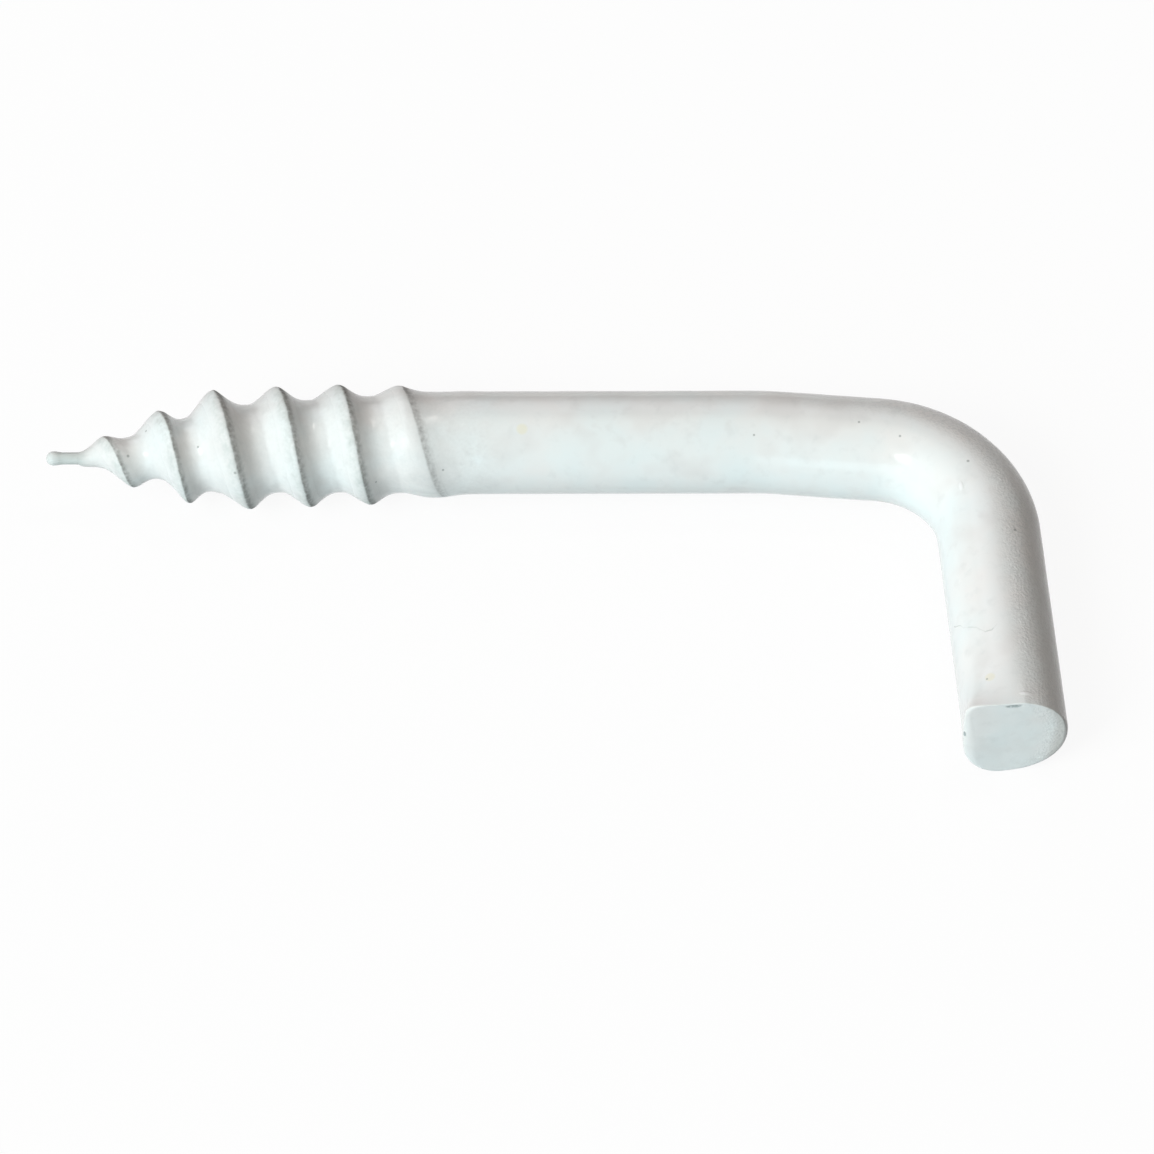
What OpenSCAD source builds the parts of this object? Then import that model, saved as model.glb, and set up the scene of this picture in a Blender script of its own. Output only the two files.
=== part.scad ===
// Screw-in hinge pin: one length of enamelled steel wire. A right-hand wood-screw
// thread is rolled on one end, the other end is bent round into a pin and cropped.
// The pin's axis is the Y axis and the bend ends at the origin. The pin points to -Y
// and the thread to -X. The part lies as it comes to rest: the pin and the lowest
// full crest of the thread touch one level plane.

/* [Wire] */
// Diameter of the wire with its enamel
wire_d = 4.2; // [3.4:0.1:6]

/* [Shank] */
// Plain round shank between the thread and the slight set
shank_l = 10.4; // [4:0.2:60]
// Angle of the slight set just before the bend
set_angle = 5.2; // [1:0.2:10]
// Centre-line radius of the slight set
set_r = 12; // [6:0.5:40]
// Straight wire between the slight set and the bend
neck_l = 4; // [1:0.2:12]

/* [Bend] */
// Angle that the wire turns through in the bend
bend_angle = 80.3; // [60:0.1:90]
// Centre-line radius of the bend
bend_r = 4.9; // [3.2:0.1:12]

/* [Pin] */
// Straight pin from the bend to its cropped end
pin_l = 10.4; // [5:0.1:40]
// Length over which the crop has squashed the end out of round
crop_l = 1.4; // [0.9:0.1:2.5]
// How far the two squashed corners stand out of the round wire
crop_corner = 0.24; // [0.05:0.01:0.26]
// Rounding of each squashed corner
crop_corner_r = 0.4; // [0.2:0.05:0.8]
// Angle of each squashed corner from the middle of the flattened side
crop_corner_angle = 40; // [30:1:55]
// Roll-over that the blade left on the far edge, measured along the pin and across it
crop_roll = 0.5; // [0.2:0.05:0.8]
// Direction of the roll-over round the pin
crop_roll_angle = -48; // [-80:1:0]
// Softening of the rim of the end face
crop_rim = 0.12; // [0.05:0.01:0.3]

/* [Thread] */
// Length of the thread with its point and its run-out
thread_l = 18.2; // [14:0.2:50]
// Pitch on the full-size part of the thread
pitch = 2.48; // [1.8:0.02:3.5]
// Pitch on the tapering point, where the turns crowd together
point_pitch = 2.36; // [1.4:0.02:3]
// Height of the crest above the surface of the wire
crest_rise = 0.4; // [0.2:0.01:0.7]
// Depth of the root below the surface of the wire, just behind the point
root_sink = 0.34; // [0.1:0.01:0.6]
// Depth of the root below the surface of the wire, where the run-out starts
root_sink_end = 0.07; // [0.02:0.01:0.3]
// Share of the pitch that the flank on the side of the point takes
flank_front = 0.43; // [0.3:0.01:0.55]
// Share of the pitch that the flank on the side of the shank takes
flank_back = 0.49; // [0.15:0.01:0.5]
// Hollowness of the flank on the side of the point, where 1 is straight
hollow_front = 1.35; // [1:0.05:2.5]
// Hollowness of the flank on the side of the shank
hollow_back = 2.2; // [1:0.05:3]
// Rounding of the crest, as a share of the flank
crest_round = 0.08; // [0.02:0.01:0.3]
// Length of the run-out, where the last turn draws out
runout_l = 3.6; // [1.5:0.1:6]
// Pitch in the run-out
runout_pitch = 3.6; // [2:0.1:5]
// Length over which the crest fades into the shank
fade_l = 5.8; // [1.5:0.1:6]
// Angle round the wire at which the ridge starts on the nib
start_angle = 263; // [0:1:359]

/* [Point] */
// Diameter of the blunt nib at the very tip
nib_d = 0.62; // [0.4:0.02:1.2]
// Length of the nib
nib_l = 1.32; // [0.8:0.02:3]
// Length of the taper from the nib to the full size
point_l = 5.6; // [3:0.1:9]
// Exponent of the taper of the crests, where 1 is a straight cone
point_fullness = 0.78; // [0.6:0.01:1.2]
// Exponent of the taper of the core, where 1 is a straight cone
core_fullness = 1.18; // [0.8:0.01:1.6]
// How far the thread's axis has bent off at the nib, towards the pin
point_shift = 0.69; // [0:0.01:1.2]
// How much further to that side the nib itself stands
nib_shift = 0.08; // [0:0.01:0.3]

/* [Hidden] */

enamel_color = "ghostwhite";
wire_r = wire_d / 2;
nib_r = nib_d / 2;
crest_r = wire_r + crest_rise;
// Curves and faceted ends stay this far inside the straight wire that they run into
seam = 0.01;
// Depth by which a faceted end runs into the straight wire
overlap = 0.4;
// Depth by which a curve runs into the straight wire
curve_overlap = 0.2;
// Thickness of the sections that a loft is stretched over
slice = 0.01;
round_fn = 96;
loft_fn = 48;

// ---- thread: the rows of its skin -------------------------------------------------
// The skin is a grid. Its columns run along the wire, one for each step of angle.
// Its rows follow the helix, so that one row is the crest and others the flanks.
columns = 48;
front_rows = 6;
back_rows = 5;
// Crowding of the rows towards the crest
row_crowding = 1.4;
// The front flank ends before the back flank of the turn before it starts
front_share = min(flank_front, 0.98 - flank_back);
// Places of the rows within one turn, in turns from the crest
row_turns = [
    for (i = [0 : back_rows]) flank_back * pow(i / back_rows, row_crowding),
    for (i = [front_rows : -1 : 1]) 1 - front_share * pow(i / front_rows, row_crowding)
];
turn_rows = len(row_turns);

point_turns = point_l / point_pitch;
full_turns = (thread_l - nib_l - point_l - runout_l) / pitch;
runout_turns = runout_l / runout_pitch;
// Spare turns at both ends let every column start below the nib and end past the shank
first_turn = -2;
last_turn = ceil(point_turns + full_turns + runout_turns) + 1;
last_row = (last_turn - first_turn) * turn_rows;

// Distance from the tip at which a ridge is, a number of turns after its start
function ridge_s(turns) = turns < point_turns
    ? nib_l + turns * point_pitch
    : turns < point_turns + full_turns
        ? nib_l + point_l + (turns - point_turns) * pitch
        : thread_l - runout_l + (turns - point_turns - full_turns) * runout_pitch;

function clamp(v, low, high) = min(max(v, low), high);
function ease(v) = let (c = clamp(v, 0, 1)) c * c * (3 - 2 * c);
function mix(a, b, share) = a + (b - a) * share;

// Share of the point's taper that is done at a distance from the tip
function taper(s) = clamp((s - nib_l) / point_l, 0, 1);
// Share of the crest's fading that is done at a distance from the tip
function crest_fade(s) = ease((s - thread_l + fade_l) / fade_l);
// The root comes up to the shank in the first third of the run-out
function root_fade(s) = ease((s - thread_l + runout_l) / (runout_l / 3));

// Depth of the root on the full-size part: it rises slowly towards the shank
function sink(s) = mix(root_sink, root_sink_end,
    clamp((s - nib_l - point_l) / (thread_l - runout_l - nib_l - point_l), 0, 1));
// Radius of the core: a cone on the point, then nearly a cylinder
function root_r(s) = s < nib_l + point_l
    ? mix(nib_r, wire_r - root_sink, pow(taper(s), core_fullness))
    : mix(wire_r - sink(s), wire_r - seam, root_fade(s));
// Radius that the crests reach
function peak_r(s) = mix(mix(nib_r, crest_r, pow(taper(s), point_fullness)), wire_r - seam, crest_fade(s));
// Share of the ridge's height, a number of turns away from the crest
function rounded(off) = (norm([off, crest_round]) - crest_round) / (norm([1, crest_round]) - crest_round);
function ridge_share(turns) = turns > flank_back
    ? pow(1 - rounded(min((1 - turns) / front_share, 1)), hollow_front)
    : pow(1 - rounded(turns / flank_back), hollow_back);

function column_angle(j) = 360 * j / columns;
// Turns from the ridge's start, at one row of one column
function grid_turns(row, j) = first_turn + floor(row / turn_rows) + row_turns[row % turn_rows]
    + (column_angle(j) - start_angle) / 360;
function grid_s(row, j) = ridge_s(grid_turns(row, j));
function grid_r(row, j) = let (s = clamp(grid_s(row, j), nib_l, thread_l))
    mix(root_r(s), peak_r(s), ridge_share(row_turns[row % turn_rows]));

// ---- thread: its place on an axis that bends off towards the nib --------------------
// The axis bends off along a parabola up to the first crest. The nib is parallel to
// the shank again and stands a little further off.
first_crest_s = nib_l + point_pitch / 2;
bent_l = thread_l - first_crest_s;
function bent_share(s) = clamp((thread_l - s) / bent_l, 0, 1);
function point_share(s) = ease((s - nib_l) / (first_crest_s - nib_l));
function axis_shift(s) = point_shift * pow(bent_share(s), 2) + nib_shift * (1 - point_share(s));
function axis_lean(s) = atan(2 * point_shift * bent_share(s) / bent_l) * point_share(s);

// A point of the skin, with the shank's end at the origin and the tip towards +Y
function skin_point(s, r, angle) = let (side = r * cos(angle)) [
    side * cos(axis_lean(s)) - axis_shift(s),
    side * sin(axis_lean(s)) + thread_l - s,
    r * sin(angle)
];

// ---- thread: its grid, joined to flat rings at the nib and at the shank ------------
// Rows closer to a ring than this are taken as lying on it
ring_gap = 0.04;
low_row = [for (j = [0 : columns - 1])
    max([for (row = [0 : last_row]) if (grid_s(row, j) <= nib_l + ring_gap) row])];
high_row = [for (j = [0 : columns - 1])
    min([for (row = [0 : last_row]) if (grid_s(row, j) >= thread_l - ring_gap) row])];

function ring_s(row, j) = row <= low_row[j] ? nib_l : row >= high_row[j] ? thread_l : grid_s(row, j);
function ring_r(row, j) = row <= low_row[j] ? nib_r
    : row >= high_row[j] ? wire_r - seam
    : grid_r(row, j);

grid_points = [for (j = [0 : columns - 1], row = [0 : last_row])
    skin_point(ring_s(row, j), ring_r(row, j), column_angle(j))];

// Number of a grid point. Past the last column, the grid closes one turn further on
function grid_id(row, j) = j == columns
    ? grid_id(row + turn_rows, 0)
    : j * (last_row + 1) + clamp(row, low_row[j], high_row[j]);

// The nib's round end, as rings from its cylinder to its pole
dome_rings = 4;
dome_points = [for (i = [0 : dome_rings - 1], j = [0 : columns - 1])
    let (rise = 90 * i / dome_rings)
    skin_point(nib_r * (1 - sin(rise)), nib_r * cos(rise), column_angle(j))];
plug_points = [for (j = [0 : columns - 1])
    skin_point(thread_l, wire_r - seam, column_angle(j)) - [0, overlap, 0]];

dome_start = len(grid_points);
plug_start = dome_start + len(dome_points);
pole_id = plug_start + len(plug_points);

function dome_id(i, j) = dome_start + i * columns + j % columns;
function plug_id(j) = plug_start + j % columns;

// A four-sided patch as two triangles, without those that have shrunk to a line
function patch(a, b, c, d) = [
    for (t = [[a, c, b], [a, d, c]]) if (t[0] != t[1] && t[1] != t[2] && t[2] != t[0]) t
];

skin_faces = [for (j = [0 : columns - 1], row = [0 : last_row - 1])
    each patch(grid_id(row, j), grid_id(row, j + 1), grid_id(row + 1, j + 1), grid_id(row + 1, j))];
nib_faces = [for (j = [0 : columns - 1])
    each patch(dome_id(0, j), dome_id(0, j + 1), grid_id(0, j + 1), grid_id(0, j))];
dome_faces = [for (i = [1 : dome_rings - 1], j = [0 : columns - 1])
    each patch(dome_id(i, j), dome_id(i, j + 1), dome_id(i - 1, j + 1), dome_id(i - 1, j))];
pole_faces = [for (j = [0 : columns - 1]) [pole_id, dome_id(dome_rings - 1, j), dome_id(dome_rings - 1, j + 1)]];
plug_faces = [for (j = [0 : columns - 1])
    each patch(grid_id(last_row, j), grid_id(last_row, j + 1), plug_id(j + 1), plug_id(j))];
plug_end = [[for (j = [columns - 1 : -1 : 0]) plug_id(j)]];

// ---- rest: the angle at which the part lies -----------------------------------------
// It rests on the pin's underside and on the crest that stands lowest under the shank.
under_turns = [for (turn = [0 : last_turn - 2]) turn + (270 - start_angle) / 360];
// Distance from the pin's axis to a place on the thread
function reach(s) = bend_r * (1 - cos(bend_angle)) + neck_l * sin(bend_angle)
    + set_r * (cos(bend_angle) - cos(bend_angle + set_angle))
    + (shank_l + thread_l - s) * sin(bend_angle + set_angle);
// Angle at which a round of one radius there stands level with the pin's underside
function level_angle(s, r) = atan2(r, reach(s)) - asin(wire_r / norm([r, reach(s)]));
lie_angle = max([for (turns = under_turns)
    let (s = min(ridge_s(turns), thread_l)) level_angle(s, peak_r(s))]);

// ---- places along the wire: each starts where the one before it ends ----------------
module after_bend() {
    translate([-bend_r, 0, 0])
        rotate(bend_angle)
            translate([bend_r, 0, 0])
                children();
}

module after_set() {
    after_bend()
        translate([-set_r, neck_l, 0])
            rotate(set_angle)
                translate([set_r, 0, 0])
                    children();
}

// ---- pieces of the wire ----------------------------------------------------------------
module straight(length) {
    rotate([-90, 0, 0])
        cylinder(d = wire_d, h = length, $fn = round_fn);
}

module curve(radius, angle) {
    run_in = curve_overlap / radius * 180 / PI;
    translate([-radius, 0, 0])
        rotate(-run_in)
            rotate_extrude(angle = angle + 2 * run_in, $fn = 2 * round_fn)
                translate([radius, 0])
                    circle(r = wire_r - seam, $fn = round_fn);
}

module thread() {
    polyhedron(
        points = concat(grid_points, dome_points, plug_points, [skin_point(0, 0, 0)]),
        faces = concat(skin_faces, nib_faces, dome_faces, pole_faces, plug_faces, plug_end),
        convexity = 10
    );
}

// Outline of the cropped end, with its flattened side to the left
module crop_outline() {
    hull() {
        circle(r = wire_r, $fn = loft_fn);
        for (side = [-1, 1])
            rotate(180 + side * crop_corner_angle)
                translate([wire_r + crop_corner - crop_corner_r, 0])
                    circle(r = crop_corner_r, $fn = loft_fn);
    }
}

module crop_face() {
    difference() {
        offset(delta = -crop_rim)
            crop_outline();
        rotate(crop_roll_angle)
            translate([wire_r - crop_roll, -wire_d])
                square(2 * wire_d);
    }
}

// A section across the pin, at a distance from the bend
module section_at(y) {
    translate([0, -y, 0])
        rotate([90, 0, 0])
            linear_extrude(slice, center = true)
                children();
}

module cropped_end() {
    hull() {
        section_at(pin_l - crop_l - overlap)
            circle(r = wire_r - seam, $fn = loft_fn);
        section_at(pin_l - crop_l)
            circle(r = wire_r - seam, $fn = loft_fn);
        section_at(pin_l - crop_roll)
            crop_outline();
    }
    hull() {
        section_at(pin_l - crop_roll)
            crop_outline();
        section_at(pin_l - slice / 2)
            crop_face();
    }
}

module hinge_pin() {
    color(enamel_color)
        rotate([0, lie_angle, 0])
            union() {
                translate([0, crop_l - pin_l, 0])
                    straight(pin_l - crop_l);
                cropped_end();
                curve(bend_r, bend_angle);
                after_bend() {
                    straight(neck_l);
                    translate([0, neck_l, 0])
                        curve(set_r, set_angle);
                }
                after_set() {
                    straight(shank_l);
                    translate([0, shank_l, 0])
                        thread();
                }
            }
}

hinge_pin();
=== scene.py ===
# %% [markdown]
# # A screw-in hinge pin
# This lesson dresses one small piece of hardware: a length of steel wire, 4.2 mm thick
# under its white enamel. A wood-screw thread is rolled on one end and goes into a gate
# post or a window frame. The other end is bent round into a pin, and the eye of a
# hinge leaf drops over it.
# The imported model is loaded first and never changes. It says where the piece lies,
# how big it is and which body carries it. All places are in metres in its frame.

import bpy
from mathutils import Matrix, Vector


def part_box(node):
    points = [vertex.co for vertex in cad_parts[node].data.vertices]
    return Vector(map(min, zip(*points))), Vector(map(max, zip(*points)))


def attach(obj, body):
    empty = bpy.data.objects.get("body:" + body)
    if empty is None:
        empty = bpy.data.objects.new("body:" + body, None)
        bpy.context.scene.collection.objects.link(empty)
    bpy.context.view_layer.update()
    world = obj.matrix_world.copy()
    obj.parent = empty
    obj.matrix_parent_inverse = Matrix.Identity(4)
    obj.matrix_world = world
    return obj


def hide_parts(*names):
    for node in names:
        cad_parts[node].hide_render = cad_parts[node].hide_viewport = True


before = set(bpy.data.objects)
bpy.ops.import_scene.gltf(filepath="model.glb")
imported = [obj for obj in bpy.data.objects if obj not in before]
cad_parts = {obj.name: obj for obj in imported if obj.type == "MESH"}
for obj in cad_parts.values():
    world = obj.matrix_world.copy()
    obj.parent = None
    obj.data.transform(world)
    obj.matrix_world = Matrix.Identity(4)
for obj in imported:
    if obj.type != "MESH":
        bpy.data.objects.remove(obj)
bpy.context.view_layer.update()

# %% Modules and units
import math

import bmesh
import bpy
from mathutils import Matrix, Vector
from mathutils.bvhtree import BVHTree

MM = 0.001

# %% [markdown]
# ## The camera
# The view is set before anything is made, because every later choice is judged in it.
# A small object is best seen through a long lens from some way off, so that the far
# end isn't much smaller than the near one. The camera is aimed by arithmetic: the
# corner where the centre lines of the two arms cross has to come to one given pixel.
# A tracking constraint could aim it too, but it can't put a point off-centre.

# %% Aim the camera
PICTURE_SIZE = 1154
AZIMUTH = math.radians(-3.4956)
ELEVATION = math.radians(51.356)
ROLL = math.radians(-1.4607)
SENSOR = 36.0
LENS = 322.908
CORNER = Vector((-0.393, 4.953, 0.006)) * MM
CORNER_PIXEL = (966.45, 441.58)
CORNER_DEPTH = 420.0 * MM

view_back = Vector((
    math.sin(AZIMUTH) * math.cos(ELEVATION),
    -math.cos(AZIMUTH) * math.cos(ELEVATION),
    math.sin(ELEVATION),
))
level_right = Vector((math.cos(AZIMUTH), math.sin(AZIMUTH), 0))
level_up = view_back.cross(level_right)
view_right = level_right * math.cos(ROLL) + level_up * math.sin(ROLL)
view_up = view_back.cross(view_right)
pixels_per_slope = PICTURE_SIZE * LENS / SENSOR


def pixel_slopes(pixel):
    """How far a pixel's ray leans to the right and up, for one unit of depth."""
    middle = PICTURE_SIZE / 2
    return (pixel[0] - middle) / pixels_per_slope, (middle - pixel[1]) / pixels_per_slope


slope_right, slope_up = pixel_slopes(CORNER_PIXEL)
camera_place = CORNER + CORNER_DEPTH * (
    view_back - view_right * slope_right - view_up * slope_up
)

camera_data = bpy.data.cameras.new("picture_camera")
camera_data.sensor_width = SENSOR
camera_data.lens = LENS
camera_data.clip_start = 0.01
camera_data.clip_end = 10.0
camera = bpy.data.objects.new("picture_camera", camera_data)
turned = Matrix((view_right, view_up, view_back)).transposed()
camera.matrix_world = Matrix.Translation(camera_place) @ turned.to_4x4()
bpy.context.scene.collection.objects.link(camera)
bpy.context.scene.camera = camera
print("camera at", [round(v, 4) for v in camera_place])

# %% [markdown]
# ## A bench for node trees
# Both the shape and the enamel are node trees, and a formula that is wired by hand
# with dozens of Math nodes is hard to read. One small class wraps an output socket
# and takes over the signs of Python, so that a sum written in code adds its own Math
# nodes. Every other node is added by one method of the bench that holds the tree.

# %% A socket that can be reckoned with
class Value:
    """One output socket of a tree. A sum written with it adds a Math node."""

    def __init__(self, bench, socket):
        self.bench = bench
        self.socket = socket

    def maths(self, operation, *others):
        return self.bench.node("ShaderNodeMath", {"operation": operation}, [self, *others])

    def reflected(self, operation, other):
        return self.bench.node("ShaderNodeMath", {"operation": operation}, [other, self])

    def __add__(self, other):
        return self.maths("ADD", other)

    def __radd__(self, other):
        return self.reflected("ADD", other)

    def __sub__(self, other):
        return self.maths("SUBTRACT", other)

    def __rsub__(self, other):
        return self.reflected("SUBTRACT", other)

    def __mul__(self, other):
        return self.maths("MULTIPLY", other)

    def __rmul__(self, other):
        return self.reflected("MULTIPLY", other)

    def __truediv__(self, other):
        return self.maths("DIVIDE", other)

    def __rtruediv__(self, other):
        return self.reflected("DIVIDE", other)

    def __pow__(self, other):
        return self.maths("POWER", other)

    def __neg__(self):
        return self.maths("MULTIPLY", -1.0)

    def __gt__(self, other):
        return self.maths("GREATER_THAN", other)

    def __lt__(self, other):
        return self.maths("LESS_THAN", other)


# %% The bench itself
class Bench:
    """Holds one node tree and adds nodes to it."""

    def __init__(self, tree):
        self.tree = tree

    def node(self, kind, settings=None, inputs=None, output=0):
        """Adds a node: its settings are set first, then its sockets are set or linked."""
        node = self.tree.nodes.new(kind)
        for name, setting in (settings or {}).items():
            if name == "stops":
                set_stops(node.color_ramp, setting)
            else:
                setattr(node, name, setting)
        pairs = inputs.items() if isinstance(inputs, dict) else enumerate(inputs or [])
        for key, value in pairs:
            if isinstance(value, Value):
                self.tree.links.new(value.socket, node.inputs[key])
            elif value is not None:
                node.inputs[key].default_value = value
        return Value(self, node.outputs[output]) if node.outputs else None

    def parts(self, vector):
        """The X, Y and Z of a vector."""
        first = self.node("ShaderNodeSeparateXYZ", None, [vector])
        outputs = first.socket.node.outputs
        return [Value(self, outputs[i]) for i in range(3)]

    def vector(self, x, y, z):
        return self.node("ShaderNodeCombineXYZ", None, [x, y, z])

    def scaled(self, vector, scale):
        return self.node(
            "ShaderNodeVectorMath", {"operation": "SCALE"}, {"Vector": vector, "Scale": scale},
        )

    def mixed(self, colour, other, share):
        """A colour that goes from one to the other as the share goes from 0 to 1."""
        return self.node(
            "ShaderNodeMix", {"data_type": "RGBA"}, {0: share, 6: colour, 7: other}, 2,
        )


def set_stops(ramp, stops):
    """Gives a colour ramp its stops, as pairs of a place and a colour."""
    while len(ramp.elements) < len(stops):
        ramp.elements.new(1.0)
    for element, (place, colour) in zip(ramp.elements, stops):
        element.position = place
        element.color = colour


print("bench ready")

# %% Small formulas that the trees share
def least(a, b):
    return a.maths("MINIMUM", b)


def most(a, b):
    return a.maths("MAXIMUM", b)


def kept_between(value, low, high):
    return most(least(value, high), low)


def ease(value):
    """Goes from 0 to 1 with a soft start and a soft stop."""
    share = kept_between(value, 0.0, 1.0)
    return share * share * (3.0 - share * 2.0)


def blend(a, b, share):
    return a + (b - a) * share


# %% [markdown]
# ## The sizes of the piece
# These are the maker's sizes, in millimetres, and the same as those of the packed
# model. They become the named inputs of the node tree, so that a longer pin or a
# coarser thread is a change of one number.

# %% Named sizes, in millimetres and degrees
SIZES = {
    "wire radius": 2.1,
    "shank": 10.4,
    "set angle": 5.2,
    "set radius": 12.0,
    "neck": 4.0,
    "bend angle": 80.3,
    "bend radius": 4.9,
    "pin": 10.4,
    "lie angle": 0.8597,
    "thread": 18.2,
    "pitch": 2.48,
    "point pitch": 2.36,
    "run-out pitch": 3.6,
    "crest rise": 0.4,
    "root sink": 0.34,
    "root sink at run-out": 0.07,
    "front flank": 0.43,
    "back flank": 0.49,
    "front hollow": 1.35,
    "back hollow": 2.2,
    "crest rounding": 0.25,
    "run-out": 3.6,
    "crest fade": 5.8,
    "start angle": 263.0,
    "nib radius": 0.31,
    "nib": 1.32,
    "point": 5.6,
    "point fullness": 0.78,
    "core fullness": 1.18,
    "point shift": 0.69,
    "nib shift": 0.08,
    "nib neck": 0.15,
    "crop length": 3.2,
    "crop half width": 2.12,
    "crop upper sharpness": 7.0,
    "crop lower sharpness": 2.8,
    "rim roll": 0.045,
    "rim roll on the right": 0.24,
    "rim roll on the left": 0.5,
    "face set-back": 0.12,
    "face dents": 0.06,
    "crest shade strip": 0.28,
    "thread kick": 0.15,
    "crest wobble": 0.05,
    "lee of the crest": 0.8,
    "enamel unevenness": 0.025,
}
SEED = 4.0
print(len(SIZES), "named sizes")

# %% [markdown]
# ## One skin for the whole wire
# The real piece is one length of wire, so its skin is made as one closed mesh. It
# could be carved or modelled by hand, but every part of it follows a rule: a round
# that runs along a path, a ridge that climbs one pitch a turn, a cropped end. So the
# rules are written into a Geometry Nodes tree with the sizes as its inputs.
# Four flat grids are wrapped round the wire: the blunt nib, the thread, the plain
# wire and the cropped end. Across each grid one direction goes once round the wire
# and the other goes along it. On the thread the rows climb with the helix, so that
# one row lies on the crest and no facet cuts across it. The grids have the same
# number of columns, so their edges meet point for point and are merged.

# %% The tree and its named inputs
shape_tree = bpy.data.node_groups.new("hinge_pin_shape", "GeometryNodeTree")
shape_tree.interface.new_socket("Geometry", in_out="OUTPUT", socket_type="NodeSocketGeometry")
for size_name, millimetres in SIZES.items():
    item = shape_tree.interface.new_socket(size_name, in_out="INPUT", socket_type="NodeSocketFloat")
    item.default_value = millimetres
item = shape_tree.interface.new_socket("seed", in_out="INPUT", socket_type="NodeSocketFloat")
item.default_value = SEED
item = shape_tree.interface.new_socket("enamel", in_out="INPUT", socket_type="NodeSocketMaterial")

shape = Bench(shape_tree)
tree_inputs = shape_tree.nodes.new("NodeGroupInput")
size = {name: Value(shape, tree_inputs.outputs[name]) for name in SIZES}
print("tree with", len(tree_inputs.outputs) - 1, "inputs")

# %% Counts of the grids
COLUMNS = 144
TURN_ROWS = 40
SPARE_TURNS = 1
GRID_TURNS = 9
NIB_ROWS = 30
WIRE_ROWS = 170
END_ROWS = 96
DEGREE = math.pi / 180
TURN = 2 * math.pi
print("quads before merging:", COLUMNS * (TURN_ROWS * GRID_TURNS + NIB_ROWS + WIRE_ROWS + END_ROWS))


def flat_grid(rows):
    """A grid of one unit, with its share round the wire and its share along it."""
    grid = shape.node(
        "GeometryNodeMeshGrid", None,
        {"Size X": 1.0, "Size Y": 1.0, "Vertices X": COLUMNS + 1, "Vertices Y": rows + 1},
    )
    x, y, _ = shape.parts(shape.node("GeometryNodeInputPosition"))
    return grid, x + 0.5, y + 0.5


def placed(grid, place, marks=None):
    """Stores marks on a grid while it is flat, then moves its points to their place."""
    for name, mark in (marks or {}).items():
        grid = shape.node(
            "GeometryNodeStoreNamedAttribute", {"data_type": "FLOAT", "domain": "POINT"},
            {"Geometry": grid, "Name": name, "Value": mark},
        )
    return shape.node("GeometryNodeSetPosition", None, {"Geometry": grid, "Position": place})


# %% [markdown]
# ## The path of the wire
# The wire lies in one plane and is made of straights and arcs. Its path could be a
# curve object that is sampled, but a straight or an arc is a line of arithmetic, and
# the sum of the stretches is exact. Each stretch adds only what lies between its own
# start and its own end, so any distance along the wire finds its place.

# %% The path as a sum of stretches
def stretch(distance, start, length, heading, radius=None):
    """What one stretch adds to the path: its two steps, and the turn of its heading."""
    done = kept_between(distance - start, 0.0, length)
    if radius is None:
        return -(heading.maths("SINE")) * done, heading.maths("COSINE") * done, 0.0
    turned = done / radius
    return (
        radius * ((heading + turned).maths("COSINE") - heading.maths("COSINE")),
        radius * ((heading + turned).maths("SINE") - heading.maths("SINE")),
        turned,
    )


def on_path(distance):
    """Place and heading on the centre line, at a distance from the end of the bend."""
    bend_turn = size["bend angle"] * DEGREE
    set_turn = size["set angle"] * DEGREE
    level = bend_turn * 0.0
    bend_length = bend_turn * size["bend radius"]
    set_length = set_turn * size["set radius"]
    neck_start = bend_length
    set_start = neck_start + size["neck"]
    shank_start = set_start + set_length
    pieces = [
        stretch(distance, level, bend_length, level, size["bend radius"]),
        stretch(distance, neck_start, size["neck"], bend_turn),
        stretch(distance, set_start, set_length, bend_turn, size["set radius"]),
        stretch(distance, shank_start, size["shank"], bend_turn + set_turn),
    ]
    x = pieces[0][0]
    y = least(distance, 0.0) + pieces[0][1]
    heading = pieces[0][2] + pieces[2][2]
    for piece in pieces[1:]:
        x = x + piece[0]
        y = y + piece[1]
    return x, y, heading


def wire_length():
    """Length of the centre line from the end of the bend to the start of the thread."""
    return (
        size["bend angle"] * DEGREE * size["bend radius"] + size["neck"]
        + size["set angle"] * DEGREE * size["set radius"] + size["shank"]
    )


def skin_place(x, y, heading, side, ahead, rise):
    """A point of the skin, from its steps to the side of the path, along it and up."""
    flat_x = x + side * heading.maths("COSINE") - ahead * heading.maths("SINE")
    flat_y = y + side * heading.maths("SINE") + ahead * heading.maths("COSINE")
    lie = size["lie angle"] * DEGREE
    return shape.vector(
        flat_x * lie.maths("COSINE") + rise * lie.maths("SINE"),
        flat_y,
        rise * lie.maths("COSINE") - flat_x * lie.maths("SINE"),
    )


# %% [markdown]
# ## The thread
# A rolled wood-screw thread is one ridge that climbs round a core. On the point both
# the core and the ridge taper to the nib, and next to the shank the ridge draws out
# over its last turn. The ridge could be a separate sweep joined to the core, but the
# real flanks run into the core in one hollow curve. Here the radius is a formula: a
# place on the skin knows how many turns it is past the start of the ridge, and from
# that how far it is from the nearest crest.
# The point of the real piece has bent a little towards the pin, so the axis of the
# thread bends off along a parabola.

# %% Radius and place of a point on the thread
# How strongly the rows crowd towards the crest
ROW_CROWDING = 0.6
# The turn that was rolled out of place, and how many turns the kick reaches
KICK_TURN = 2.2
KICK_REACH = 0.7
# Rows closer than this to a ring are laid on it, in millimetres
RING_GAP = 0.03
# The raggedness of the crest: its waves a millimetre, and its stretch along the thread
RAGGED_WAVES = 5.5
RAGGED_STRETCH = 0.4
# Share of the nib over which it narrows behind its round tip
NECK_SHARE = 0.3

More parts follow.
